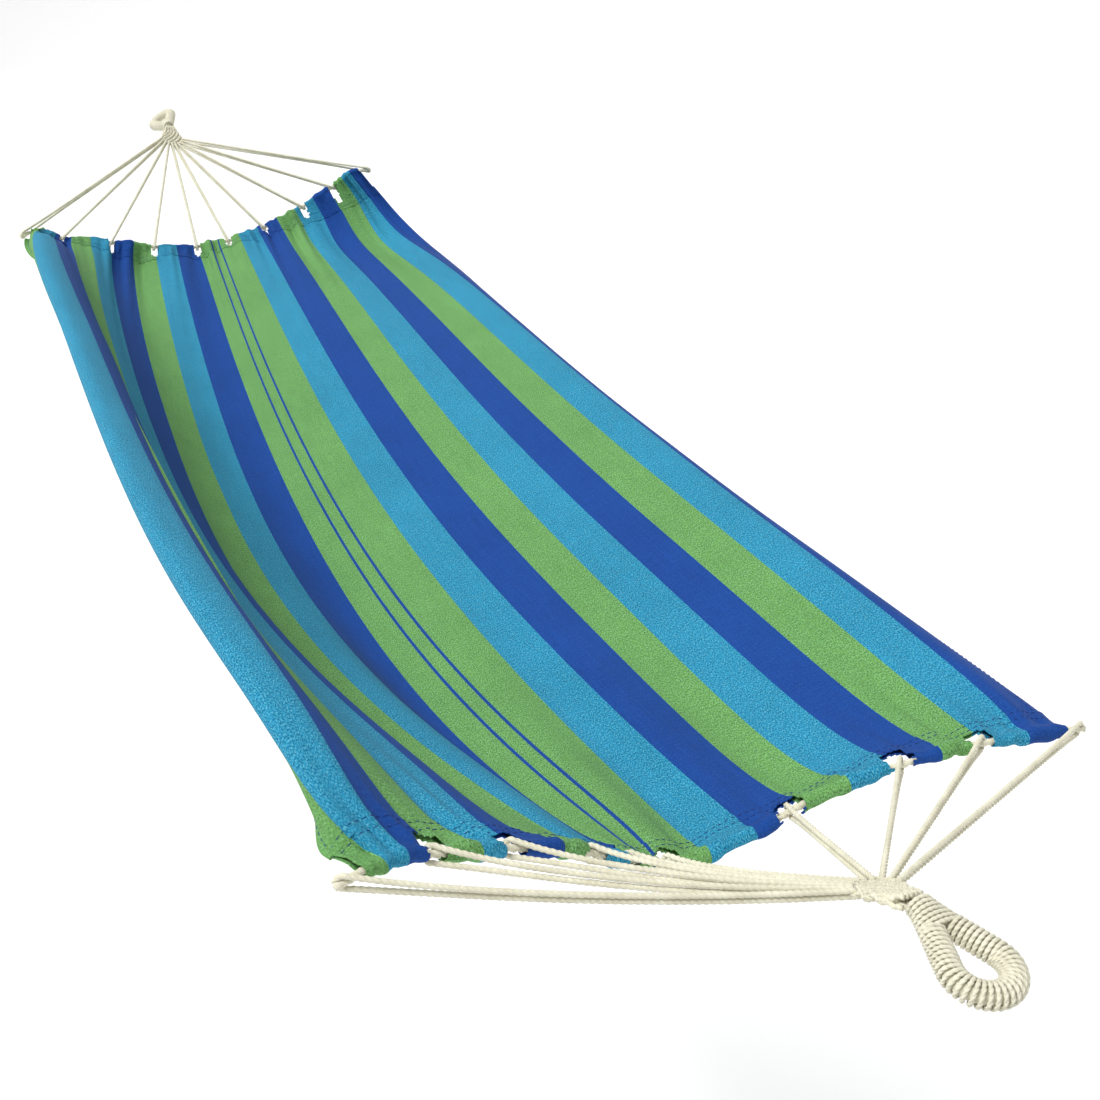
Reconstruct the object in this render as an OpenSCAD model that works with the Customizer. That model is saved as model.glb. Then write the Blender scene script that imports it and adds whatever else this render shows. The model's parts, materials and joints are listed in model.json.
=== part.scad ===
// Rope hammock: a striped cotton bed gathered on two end ropes, each end rope carried by a fan of
// ten doubled cords that meet in a woven clew and a wrapped hanging loop.
// Millimetres. Y runs from the foot loop to the head loop, Z is up. The origin is the point where
// the foot loop bears on its hook.

/* [Bed] */
// Length of the bed cloth between the two hems
bed_length = 1900; // [1880:5:1920]
// Width of the bed cloth laid flat
bed_width = 1020; // [1000:5:1040]
// Thickness of the cloth solid
cloth_t = 2.4; // [2.2:0.1:2.6]
// How far the middle of the bed sags below the line between the hems
bed_sag = 107; // [97:5:117]

/* [Ends] */
// Share of the flat width that the gathered foot hem keeps
foot_gather = 0.87; // [0.86:0.01:0.88]
// Share of the flat width that the gathered head hem keeps
head_gather = 0.77; // [0.76:0.01:0.78]
// Level distance from the foot clew to the ends of the foot hem
foot_reach = 146; // [142:1:150]
// Level distance from the head clew to the ends of the head hem
head_reach = 294; // [290:1:300]
// Depth of the foot hem's middle below the clew
foot_drop = 98; // [94:1:102]
// Depth of the head hem's middle below the clew
head_drop = 151; // [146:1:156]

/* [Ropes] */
// Diameter of the harness cords
cord_d = 5; // [4.6:0.1:5.2]
// Diameter of the end rope inside each hem
rope_d = 7; // [6.5:0.5:7.5]
// Outer diameter of the hem casing
hem_d = 15; // [14:0.5:16]
// Width of each window cut in a hem
window_w = 26; // [24:1:30]
// Depth of the folded hem, from the casing to its far edge
hem_depth = 26; // [24:1:28]

/* [Hanging loops] */
// Outside length of a hanging loop from its neck to its crown
loop_length = 90; // [88:1:94]
// Outside width of a hanging loop
loop_width = 62; // [60:1:64]
// Thickness of the bundle of cords inside a loop
bundle_d = 13; // [12:0.5:14]
// Diameter of the cord wrapped round the bundle
wrap_d = 3.5; // [3:0.5:4]
// Length of the woven clew between the harness cords and the loop
clew_length = 54; // [52:1:58]
// Width of the woven clew
clew_width = 50; // [48:1:52]
// Thickness of the woven clew
clew_t = 13; // [12:1:13]

/* [Hidden] */
GREEN = [0.44, 0.68, 0.36];
CREAM = [0.88, 0.86, 0.76];
NAVY = [0.12, 0.2, 0.45];
// Width of the bed counted in stripes, and the number of cords at each end
STRIPES = 19;
HITCHES = 10;
// Clearance between pieces that don't touch
GAP = 0.3;

// The cloth's slope across the bed in degrees, at these distances from the left edge in stripes.
// The first stripe is turned under, so its slope is over 90.
KNOTS = [0, 0.8, 1.6, 2.4, 3.3, 4.5, 7, 9.5, 12, 15, 17.5, 19];
FOOT_SLOPES = [178, 160, 2, -61, -25, -35, -23, -4, 3, 26, 30, -15];
MIDDLE_SLOPES = [169, 163, -21, -52, -75, -53, -26, 34, 28, 23, 26, -85];
HEAD_SLOPES = [163, 88, -14, -37, -23, -30, 10, 25, 10, -1, 27, 10];
// Lengthwise folds that start at the foot hem: place in stripes, half width, strength in degrees,
// share of the bed's length that they run
FOLDS = [[5.89, 0.5, 49, 0.71], [8.31, 0.71, 56, 0.67], [11.88, 0.61, -46, 0.4]];
// How far the cloth takes to spread from its gathered hems, as shares of its length
FOOT_SPREAD = 0.164;
HEAD_SPREAD = 0.327;
// Sideways place of each hem's middle, and how far the bed's middle swings out from their line
FOOT_X = -77;
HEAD_X = 24;
SIDE_BOW = -28;
// How much nearer the head the middle of each hem lies than its two ends
FOOT_BULGE = 26;
HEAD_BULGE = 46;
// How much deeper the bed sags on its foot half than on its head half
SAG_SHIFT = -0.41;
// Bunches of cloth near the hems: place in stripes, half width, and the shares of the width that
// they take up at the foot hem and at the head hem; they spread within BUNCH_SPREAD of the length
BUNCHES = [[0.71, 2.4, 0.7, 0.49], [4.53, 0.4, 0.36, 0], [8.52, 1.18, 0.75, 0], [18.4, 1.9, 0, 0.6]];
BUNCH_SPREAD = 0.07;
// Slopes of the two hem lines, which the cloth takes up close to its ends
FOOT_LINE = [9, 9, 4, -22, -11, -14, -23, -16, 26, 15, 8, 1];
HEAD_LINE = [14, 0, -21, -21, -5, -6, -3, 14, 27, 38, 51, 20];
FOOT_LINE_SPREAD = 0.035;
HEAD_LINE_SPREAD = 0.03;
// Distance between the two hems' ends
HEM_TO_HEM = 1861;

// Steps of the cloth solid across and along the bed
SIDE = 56;
ROWS = 30;
SIDE_HEM_T = 1.2;
// Rows of the cloth left without a side hem at each end
SIDE_HEM_END = 2;
THREAD_D = 1.4;
// Distance of the hem's stitching from the casing
STITCH_IN = 14;
HEM_R = hem_d / 2;
ROPE_STEPS = 38;
// Length of end rope beyond the cloth at each corner, and the place of the corner cords on it
ROPE_END = 22;
CORNER_OUT = 15;
// Places of the cords along the hems, in stripes from the left edge
FOOT_HITCHES = [-0.1, 3, 5, 6.8, 8.5, 10.2, 12.8, 15.2, 17, 19.1];
HEAD_HITCHES = [-0.1, 2.5, 5, 7, 9, 10.5, 12.3, 14.4, 16.2, 19.1];
// The cords' fan on the clew
FAN_R = 20;
FAN_ANGLE = 75;
LEG_SPLIT = 2.7;
LEG_STEPS = 5;
// Sag of each cord as a share of its length
FOOT_SLACK = [0.05, 0.05, 0.04, 0.04, 0.03, 0.02, 0, 0, 0, 0];
HEAD_SLACK = [0, 0, 0, 0, 0, 0, 0, 0, 0, 0];

SLEEVE_D = bundle_d + 2 * wrap_d;
CROWN_R = (loop_width - SLEEVE_D) / 2;
CROWN_Y = CROWN_R - SLEEVE_D / 2;
NECK_Y = loop_length - SLEEVE_D;
// Turns of the two loops about the line of the hammock
FOOT_ROLL = -8;
HEAD_ROLL = -40;
// Length of the whipping at the loop's neck, and the width of the clew there
COLLAR = 12;
NECK_W = 18;
CLEW_START = NECK_Y + COLLAR / 2 + GAP;
// Each clew tips down from the loop's neck towards the bed, and starts clear of the neck's whipping
CLEW_TILT = 28;
CLEW_GAP = 4;
CLEW_OUT = CLEW_GAP + clew_length - clew_width / 2;
CLEW_Y = CLEW_START + CLEW_OUT * cos(CLEW_TILT);
CLEW_Z = -CLEW_OUT * sin(CLEW_TILT);
FOOT_CLEW = [0, CLEW_Y, CLEW_Z];
FOOT_HEM_Y = CLEW_Y + foot_reach;
HEAD_HEM_Y = FOOT_HEM_Y + HEM_TO_HEM;
HEAD_CLEW = [0, HEAD_HEM_Y + head_reach, CLEW_Z];
TOTAL_Y = HEAD_CLEW[1] + CLEW_Y;

NODES = concat(
    ["bed_cloth", "left_side_hem", "right_side_hem", "left_side_stitching", "right_side_stitching"],
    [for (e = ["foot", "head"])
        for (p = ["hem", "hem_stitching", "end_rope", "clew", "loop_core", "loop_wrapping"])
        str(e, "_", p)],
    [for (e = ["foot", "head"]) for (i = [1:HITCHES]) str(e, "_cord_", i)]);
node = "all";

// ---- Shape of the bed ----
function unit(v) = v / norm(v);
function ease(t) = t <= 0 ? 0 : t >= 1 ? 1 : t * t * (3 - 2 * t);
function mix(a, b, t) = a * (1 - t) + b * t;
// A value at the foot, middle and head, carried smoothly along the bed
function along(foot, middle, head, v) =
    foot * (1 - v) * (1 - 2 * v) + middle * 4 * v * (1 - v) + head * v * (2 * v - 1);
function knot_value(list, u, i = 0) =
    i < len(KNOTS) - 2 && u > KNOTS[i + 1]
        ? knot_value(list, u, i + 1)
        : mix(list[i], list[i + 1], ease((u - KNOTS[i]) / (KNOTS[i + 1] - KNOTS[i])));
// A fold steepens the cloth at its middle and eases it on both sides, so its ends stay level
function fold_slope(f, u, v) =
    let (q = (u - f[0]) / f[1]) -f[2] * (1 - q * q) * exp(-q * q / 2) * ease(1 - v / f[3]);
function inner_slope(u, v) =
    along(knot_value(FOOT_SLOPES, u), knot_value(MIDDLE_SLOPES, u), knot_value(HEAD_SLOPES, u), v)
    + fold_slope(FOLDS[0], u, v) + fold_slope(FOLDS[1], u, v) + fold_slope(FOLDS[2], u, v);
function slope(u, v) =
    mix(
        mix(inner_slope(u, v), knot_value(FOOT_LINE, u), exp(-v / FOOT_LINE_SPREAD)),
        knot_value(HEAD_LINE, u),
        exp(-(1 - v) / HEAD_LINE_SPREAD));
function bunch(b, u, v) =
    let (q = (u - b[0]) / b[1])
    1 - exp(-q * q) * (b[2] * exp(-v / BUNCH_SPREAD) + b[3] * exp(-(1 - v) / BUNCH_SPREAD));
function bunched(u, v) =
    bunch(BUNCHES[0], u, v) * bunch(BUNCHES[1], u, v) * bunch(BUNCHES[2], u, v) * bunch(BUNCHES[3], u, v);
function kept_width(u, v) =
    (1 - (1 - foot_gather) * exp(-v / FOOT_SPREAD) - (1 - head_gather) * exp(-(1 - v) / HEAD_SPREAD))
    * bunched(u, v);
// One line across the bed: [x, z] from the left edge, in SIDE steps
function section(v) =
    let (
        us = [for (i = [0:SIDE]) min(i + 0.5, SIDE - 0.5) * STRIPES / SIDE],
        step = [for (u = us) bed_width / SIDE * kept_width(u, v)],
        tilt = [for (u = us) slope(u, v)]
    )
    [for (
        i = 0, x = 0, z = 0;
        i <= SIDE;
        x = x + step[i] * cos(tilt[i]), z = z + step[i] * sin(tilt[i]), i = i + 1
    ) [x, z]];
function bulge(u) = 1 - pow(2 * u / STRIPES - 1, 2);
function bed_row(v) =
    let (
        s = section(v),
        middle = s[SIDE / 2],
        x = mix(FOOT_X, HEAD_X, v) + SIDE_BOW * 4 * v * (1 - v),
        z = CLEW_Z - mix(foot_drop, head_drop, v) - bed_sag * 4 * v * (1 - v) * (1 + SAG_SHIFT * (2 * v - 1))
    )
    [for (i = [0:SIDE])
        [
            x + s[i][0] - middle[0],
            mix(FOOT_HEM_Y, HEAD_HEM_Y, v)
                + bulge(i * STRIPES / SIDE) * (FOOT_BULGE * pow(1 - v, 3) + HEAD_BULGE * pow(v, 3)),
            z + s[i][1] - middle[1]
        ]];
function at(row, u) =
    let (t = max(min(u, STRIPES), 0) * SIDE / STRIPES, i = min(floor(t), SIDE - 1))
    mix(row[i], row[i + 1], t - i);

HEM_V = hem_depth / bed_length;
BED_VS = [for (j = [0:ROWS]) mix(HEM_V, 1 - HEM_V, j / ROWS)];
BED = [for (v = BED_VS) bed_row(v)];
FOOT_ROWS = [bed_row(0), bed_row(HEM_V)];
HEAD_ROWS = [bed_row(1), bed_row(1 - HEM_V)];

// ---- Sweeps ----
// Rings of an even number of points, joined into one solid. Every ring turns the same way about the
// path, and its first half faces its second half across the shape.
module rings(list) {
    n = len(list[0]);
    m = len(list);
    e = (m - 1) * n;
    sides = [for (i = [0:m - 2]) for (k = [0:n - 1])
        let (l = (k + 1) % n, a = i * n, b = a + n)
        each [[b + k, b + l, a + l], [b + k, a + l, a + k]]];
    ends = [for (k = [0:n / 2 - 2]) let (p = n - 1 - k)
        each [[k, k + 1, p - 1], [k, p - 1, p], [e + p, e + p - 1, e + k + 1], [e + p, e + k + 1, e + k]]];
    polyhedron([for (r = list) each r], concat(sides, ends), convexity = 6);
}
function heading(path, i) = unit(path[min(i + 1, len(path) - 1)] - path[max(i - 1, 0)]);
// A round tube along a path; side is any direction that the path never follows
module tube(path, d, side, n = 8) {
    rings([for (i = [0:len(path) - 1])
        let (a = unit(cross(heading(path, i), side)), b = cross(heading(path, i), a))
        [for (k = [0:n - 1]) path[i] + d / 2 * (cos(360 * k / n) * a + sin(360 * k / n) * b)]]);
}

// ---- Cloth and its hems ----
function cloth_normal(rows, j, i) =
    unit(cross(
        rows[j][min(i + 1, SIDE)] - rows[j][max(i - 1, 0)],
        rows[min(j + 1, len(rows) - 1)][i] - rows[max(j - 1, 0)][i]));
// A band of the bed between two columns, from one height over the cloth to another
module band(first, last, low, high, from = 0, to = ROWS) {
    rings([for (j = [from:to])
        concat(
            [for (i = [first:last]) BED[j][i] + cloth_normal(BED, j, i) * high],
            [for (i = [last:-1:first]) BED[j][i] + cloth_normal(BED, j, i) * low])]);
}
module bed_cloth() {
    color(GREEN) band(0, SIDE, -cloth_t / 2, cloth_t / 2);
}
// The side hems stop short of the end hems, where the cloth's edge twists to meet the end rope
module side_hem(first, colour) {
    color(colour)
    band(first, first + 1, -cloth_t / 2 - SIDE_HEM_T, -cloth_t / 2 - 0.1, SIDE_HEM_END, ROWS - SIDE_HEM_END);
}
module side_stitching(column) {
    path = [for (j = [0:ROWS])
        mix(BED[j][column], BED[j][column + 1], 0.5) + cloth_normal(BED, j, column) * cloth_t / 2];
    color(NAVY) tube(path, THREAD_D, [1, 0, 0], 6);
}

// The hem: the cloth's end folded round the end rope. Local axes are out, away from the bed, and
// up, square to the cloth.
function hem_frame(rows, u) =
    let (
        p = at(rows[0], u),
        out = unit(p - at(rows[1], u)),
        run = at(rows[0], u + 0.3) - at(rows[0], u - 0.3),
        up = unit(cross(run, out)) * (out[1] < 0 ? -1 : 1)
    )
    [p, out, up, unit(run)];
function rope_point(rows, u) = let (f = hem_frame(rows, u)) f[0] + f[1] * HEM_R;
function rope_path(rows) =
    let (inner = [for (i = [0:ROPE_STEPS]) rope_point(rows, i * STRIPES / ROPE_STEPS)])
    concat(
        [rope_point(rows, 0) - hem_frame(rows, 0)[3] * ROPE_END],
        inner,
        [rope_point(rows, STRIPES) + hem_frame(rows, STRIPES)[3] * ROPE_END]);
module end_rope(rows) {
    color(CREAM) tube(rope_path(rows), rope_d, [0, 1, 0], 8);
}
LAYER = cloth_t / 2 + 0.1;
HEM_OUTSIDE = concat(
    [[-hem_depth, -LAYER - 1]],
    [for (a = [-150:50:150]) [HEM_R + HEM_R * cos(a), HEM_R * sin(a)]],
    [[-hem_depth, LAYER + 1]]);
ROPE_ROOM = rope_d / 2 + GAP;
HEM_INSIDE = concat(
    [[-hem_depth, LAYER]],
    [for (a = [150:-50:-150]) [HEM_R + ROPE_ROOM * cos(a), ROPE_ROOM * sin(a)]],
    [[-hem_depth, -LAYER]]);
function hem_ring(rows, u, head) =
    let (
        f = hem_frame(rows, u),
        ring = [for (p = concat(HEM_OUTSIDE, HEM_INSIDE)) f[0] + f[1] * p[0] + f[2] * p[1]],
        n = len(ring)
    )
    head ? ring : [for (k = [n - 1:-1:0]) ring[k]];
// Half of a window's width in stripes, wider where the cloth is bunched
HALF_WINDOW = window_w / 2 / (bed_width * foot_gather / STRIPES);
function half_window(u, head) = HALF_WINDOW / sqrt(bunched(u, head ? 1 : 0));
// The hem stops at the windows, and runs out to the cloth's corners
function piece_start(u, head) = u < 0 ? 0 : u + half_window(u, head);
function piece_end(u, head) = u > STRIPES ? STRIPES : u - half_window(u, head);
module hem(rows, hitches, head) {
    color(GREEN)
    for (h = [0:HITCHES - 2]) {
        a = piece_start(hitches[h], head);
        b = piece_end(hitches[h + 1], head);
        steps = max(ceil((b - a) / 0.5), 2);
        rings([for (i = [0:steps]) hem_ring(rows, mix(a, b, i / steps), head)]);
    }
}
module hem_stitching(rows, hitches, head) {
    color(NAVY)
    for (h = [0:HITCHES - 2]) {
        a = piece_start(hitches[h], head);
        b = piece_end(hitches[h + 1], head);
        steps = 3;
        path = [for (i = [0:steps])
            let (f = hem_frame(rows, mix(a, b, i / steps)))
            f[0] - f[1] * STITCH_IN + f[2] * (LAYER + 1.6)];
        tube(path, THREAD_D, [0, 1, 0], 6);
    }
}

// ---- Harness ----
// One doubled cord: from the clew to the end rope, round it, and back beside itself
function cord_path(rows, u, clew, index, slack) =
    let (
        inside = u > 0 && u < STRIPES,
        f = hem_frame(rows, u),
        rope = inside ? rope_point(rows, u)
            : rope_point(rows, u) + f[3] * (u < 0 ? -CORNER_OUT : CORNER_OUT),
        fan = mix(-FAN_ANGLE, FAN_ANGLE, index / (HITCHES - 1)),
        away = sign(rope[1] - clew[1]) * cos(CLEW_TILT),
        root = clew + FAN_R * [sin(fan), cos(fan) * away, -cos(fan) * sin(CLEW_TILT)],
        pull = unit(root - rope),
        square = unit(f[3] - (f[3] * pull) * pull),
        over0 = cross(square, pull),
        over = over0[2] < 0 ? -over0 : over0,
        r = (rope_d + cord_d) / 2 + GAP,
        sag = norm(root - rope) * slack[index]
    )
    concat(
        [for (i = [LEG_STEPS:-1:1]) let (t = i / LEG_STEPS)
            mix(rope + over * r, root + [0, 0, LEG_SPLIT], t) - [0, 0, 4 * sag * t * (1 - t)]],
        [for (a = [0:30:180]) rope + r * (cos(a) * over - sin(a) * pull)],
        [for (i = [1:LEG_STEPS]) let (t = i / LEG_STEPS)
            mix(rope - over * r, root - [0, 0, LEG_SPLIT], t) - [0, 0, 4 * sag * t * (1 - t)]]);

module cord(rows, u, clew, index, slack) {
    path = cord_path(rows, u, clew, index, slack);
    f = hem_frame(rows, u);
    color(CREAM) tube(path, cord_d, f[3], 8);
}

// ---- Clews and hanging loops, drawn for the foot end and turned about for the head ----
module clew() {
    r = clew_width / 2;
    outline = concat(
        [for (a = [-20:10:200]) [r * cos(a), r * sin(a)]],
        [[-NECK_W / 2, r - clew_length], [NECK_W / 2, r - clew_length]]);
    color(CREAM)
    translate([0, CLEW_START, 0])
    rotate([-CLEW_TILT, 0, 0])
    translate([0, CLEW_OUT, -clew_t / 2]) linear_extrude(clew_t) polygon(outline);
}
// The teardrop path of the bundle as a solid of diameter d: a crown arc and two straight legs, a
// little slimmer where the bundle is pulled tight
LEG_SLIM = 0.6;
LEG_ANGLE = asin(CROWN_R / (NECK_Y - CROWN_Y));
LEG = sqrt(pow(NECK_Y - CROWN_Y, 2) - pow(CROWN_R, 2));
module teardrop(d) {
    translate([0, CROWN_Y, 0])
    rotate([0, 0, 180 - LEG_ANGLE])
    rotate_extrude(angle = 180 + 2 * LEG_ANGLE, $fn = 64) translate([CROWN_R, 0]) circle(d = d, $fn = 32);
    for (s = [-1, 1])
        translate([0, NECK_Y, 0])
        rotate([90, 0, s * LEG_ANGLE]) cylinder(d = d - LEG_SLIM, h = LEG + 1, $fn = 32);
}
module loop_core() {
    color(CREAM) teardrop(bundle_d - 0.4);
}
module loop_wrapping() {
    color(CREAM)
    difference() {
        union() {
            teardrop(SLEEVE_D);
            translate([0, NECK_Y - COLLAR / 2, 0])
            rotate([-90, 0, 0]) cylinder(d = SLEEVE_D + 4, h = COLLAR, $fn = 32);
        }
        teardrop(bundle_d);
    }
}
module at_foot(roll = 0) {
    rotate([0, roll, 0]) children();
}
module at_head(roll = 0) {
    translate([0, TOTAL_Y, 0]) mirror([0, 1, 0]) rotate([0, roll, 0]) children();
}
function wanted(name) = node == "all" || node == name;

if (wanted("bed_cloth")) bed_cloth();
if (wanted("left_side_hem")) side_hem(0, GREEN);
if (wanted("right_side_hem")) side_hem(SIDE - 1, NAVY);
if (wanted("left_side_stitching")) side_stitching(0);
if (wanted("right_side_stitching")) side_stitching(SIDE - 1);
if (wanted("foot_hem")) hem(FOOT_ROWS, FOOT_HITCHES, false);
if (wanted("head_hem")) hem(HEAD_ROWS, HEAD_HITCHES, true);
if (wanted("foot_hem_stitching")) hem_stitching(FOOT_ROWS, FOOT_HITCHES, false);
if (wanted("head_hem_stitching")) hem_stitching(HEAD_ROWS, HEAD_HITCHES, true);
if (wanted("foot_end_rope")) end_rope(FOOT_ROWS);
if (wanted("head_end_rope")) end_rope(HEAD_ROWS);
for (i = [1:HITCHES]) {
    if (wanted(str("foot_cord_", i))) cord(FOOT_ROWS, FOOT_HITCHES[i - 1], FOOT_CLEW, i - 1, FOOT_SLACK);
    if (wanted(str("head_cord_", i))) cord(HEAD_ROWS, HEAD_HITCHES[i - 1], HEAD_CLEW, i - 1, HEAD_SLACK);
}
if (wanted("foot_clew")) at_foot() clew();
if (wanted("head_clew")) at_head() clew();
if (wanted("foot_loop_core")) at_foot(FOOT_ROLL) loop_core();
if (wanted("head_loop_core")) at_head(HEAD_ROLL) loop_core();
if (wanted("foot_loop_wrapping")) at_foot(FOOT_ROLL) loop_wrapping();
if (wanted("head_loop_wrapping")) at_head(HEAD_ROLL) loop_wrapping();
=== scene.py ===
"""Looks of the striped cotton hammock: cloth, hems, stitching, twisted cords, woven clews and wrapped loops.

Lengths are in metres. u counts stripes across the bed from the left edge, and v runs from 0 at the
foot hem to 1 at the head hem, as in the CAD part.
"""

import json
import math

import bpy
import numpy as np
from mathutils import Matrix, Vector


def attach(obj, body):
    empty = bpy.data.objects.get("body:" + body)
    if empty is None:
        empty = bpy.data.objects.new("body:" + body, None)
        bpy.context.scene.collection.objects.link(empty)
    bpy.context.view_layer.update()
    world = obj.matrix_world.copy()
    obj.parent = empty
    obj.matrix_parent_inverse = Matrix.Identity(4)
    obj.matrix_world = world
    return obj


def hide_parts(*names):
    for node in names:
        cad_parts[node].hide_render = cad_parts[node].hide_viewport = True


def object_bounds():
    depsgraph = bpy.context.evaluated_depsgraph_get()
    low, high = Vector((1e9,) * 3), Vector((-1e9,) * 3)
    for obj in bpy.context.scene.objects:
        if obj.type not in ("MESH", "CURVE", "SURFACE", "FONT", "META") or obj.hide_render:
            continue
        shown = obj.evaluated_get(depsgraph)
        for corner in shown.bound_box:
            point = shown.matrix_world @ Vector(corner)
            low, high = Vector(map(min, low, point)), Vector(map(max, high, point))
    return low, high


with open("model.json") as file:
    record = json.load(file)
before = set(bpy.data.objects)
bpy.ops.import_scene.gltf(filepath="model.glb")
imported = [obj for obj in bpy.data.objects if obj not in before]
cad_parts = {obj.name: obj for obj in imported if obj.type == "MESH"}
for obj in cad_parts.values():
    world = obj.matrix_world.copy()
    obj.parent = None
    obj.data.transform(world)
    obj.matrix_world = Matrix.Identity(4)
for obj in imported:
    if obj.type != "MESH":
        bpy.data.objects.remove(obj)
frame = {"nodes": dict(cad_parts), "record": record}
CAD_BOX = [list(corner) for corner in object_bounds()]

# ---------------------------------------------------------------- sizes
# As in the CAD part, except that the foot cords sag less here (FOOT_SLACK) and the cord wound round the
# loops is 0.3 mm thicker (WRAP_D). The hems' casings and windows have their own sizes further down.
STRIPES = 19
CORDS = 10
BED_WIDTH = 1.02
BED_LENGTH = 1.9
STRIPE = BED_WIDTH / STRIPES
# The cloth's slope across the bed in degrees, at these distances from the left edge in stripes.
# The first stripe is turned under, so its slope is over 90.
KNOTS = np.array([0, 0.8, 1.6, 2.4, 3.3, 4.5, 7, 9.5, 12, 15, 17.5, 19])
FOOT_SLOPES = [178, 160, 2, -61, -25, -35, -23, -4, 3, 26, 30, -15]
MIDDLE_SLOPES = [169, 163, -21, -52, -75, -53, -26, 34, 28, 23, 26, -85]
HEAD_SLOPES = [163, 88, -14, -37, -23, -30, 10, 25, 10, -1, 27, 10]
SLOPES = np.radians([FOOT_SLOPES, MIDDLE_SLOPES, HEAD_SLOPES])
# place in stripes, half width, strength in degrees, share of the bed's length
FOLDS = ((5.89, 0.5, 49, 0.71), (8.31, 0.71, 56, 0.67), (11.88, 0.61, -46, 0.4))
# place in stripes, half width, shares of the width taken up at the foot hem and at the head hem
BUNCHES = ((0.71, 2.4, 0.7, 0.49), (4.53, 0.4, 0.36, 0), (8.52, 1.18, 0.75, 0), (18.4, 1.9, 0, 0.6))
BUNCH_SPREAD = 0.07
FOOT_LINE = np.radians([9, 9, 4, -22, -11, -14, -23, -16, 26, 15, 8, 1])
HEAD_LINE = np.radians([14, 0, -21, -21, -5, -6, -3, 14, 27, 38, 51, 20])
FOOT_LINE_SPREAD, HEAD_LINE_SPREAD = 0.035, 0.03
FOOT_GATHER, HEAD_GATHER = 0.87, 0.77
FOOT_SPREAD, HEAD_SPREAD = 0.164, 0.327
FOOT_X, HEAD_X, SIDE_BOW = -0.077, 0.024, -0.028
FOOT_DROP, HEAD_DROP = 0.098, 0.151
SAG, SAG_SHIFT = 0.107, -0.41
FOOT_BULGE, HEAD_BULGE = 0.026, 0.046
FOOT_REACH, HEM_TO_HEM = 0.146, 1.861
CORD_D, ROPE_D, WRAP_D = 0.005, 0.007, 0.0038
HEM_R = 0.0075
HEM_DEPTH = 0.026
WINDOW = 0.026
FOOT_HITCHES = [-0.1, 3, 5, 6.8, 8.5, 10.2, 12.8, 15.2, 17, 19.1]
HEAD_HITCHES = [-0.1, 2.5, 5, 7, 9, 10.5, 12.3, 14.4, 16.2, 19.1]
FOOT_SLACK = [0.025, 0.035, 0.035, 0.035, 0.025, 0.02, 0, 0, 0, 0]
HEAD_SLACK = [0] * CORDS
FAN_R, FAN_ANGLE, LEG_SPLIT = 0.02, 75, 0.0027
CORNER_OUT, ROPE_END = 0.015, 0.022
BUNDLE_D = 0.013
CROWN_R, CROWN_Y, NECK_Y, COLLAR = 0.021, 0.011, 0.07, 0.012
CLEW_START, CLEW_OUT, CLEW_TILT = 0.0763, 0.033, math.radians(28)
FOOT_ROLL, HEAD_ROLL = math.radians(-8), math.radians(-40)

CLOTH_T = 0.0009
TOTAL_Y = frame["record"]["mounts"][1]["pos_m"][1]
CLEW_Y = CLEW_START + CLEW_OUT * math.cos(CLEW_TILT)
CLEW_Z = -CLEW_OUT * math.sin(CLEW_TILT)
FOOT_CLEW = np.array([0, CLEW_Y, CLEW_Z])
HEAD_CLEW = np.array([0, TOTAL_Y - CLEW_Y, CLEW_Z])
FOOT_HEM_Y = CLEW_Y + FOOT_REACH

# How many random values a row of waves has, and the one that it starts from at zero
WAVE_VALUES, WAVE_START = 4000, 1000


# ---------------------------------------------------------------- small helpers
def ease(t):
    t = np.clip(t, 0, 1)
    return t * t * (3 - 2 * t)


def unit(a):
    return a / np.maximum(np.linalg.norm(a, axis=-1, keepdims=True), 1e-12)


def wavy(x, spacing, seed):
    """Smooth irregular waves, about one bump for every two spacings, mostly between -1 and 1."""
    values = np.random.default_rng(seed).uniform(-1, 1, WAVE_VALUES)
    t = np.asarray(x, float) / spacing + WAVE_START
    i = np.floor(t).astype(int)
    return values[i] + (values[i + 1] - values[i]) * ease(t - i)


def linear(red, green, blue):
    """A colour for the shader from 0 to 255 display values."""
    def channel(c):
        c /= 255
        return c / 12.92 if c <= 0.04045 else ((c + 0.055) / 1.055) ** 2.4

    return (channel(red), channel(green), channel(blue), 1)


def add_object(name, points, faces, uv=None):
    mesh = bpy.data.meshes.new(name)
    mesh.from_pydata(np.asarray(points).tolist(), [], faces)
    mesh.update()
    mesh.shade_smooth()
    if uv is not None:
        layer = mesh.uv_layers.new(name="cloth")
        loops = np.empty(len(mesh.loops), int)
        mesh.loops.foreach_get("vertex_index", loops)
        layer.data.foreach_set("uv", np.asarray(uv)[loops].ravel())
    obj = bpy.data.objects.new(name, mesh)
    bpy.context.scene.collection.objects.link(obj)
    return obj


def dress(obj, material, body, slot, *nodes):
    """Gives a finished piece its material and its body, and hides the CAD nodes that it replaces. The slot is
    not used.
    """
    obj.data.materials.append(material)
    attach(obj, body)
    if nodes:
        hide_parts(*nodes)
    return obj


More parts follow.
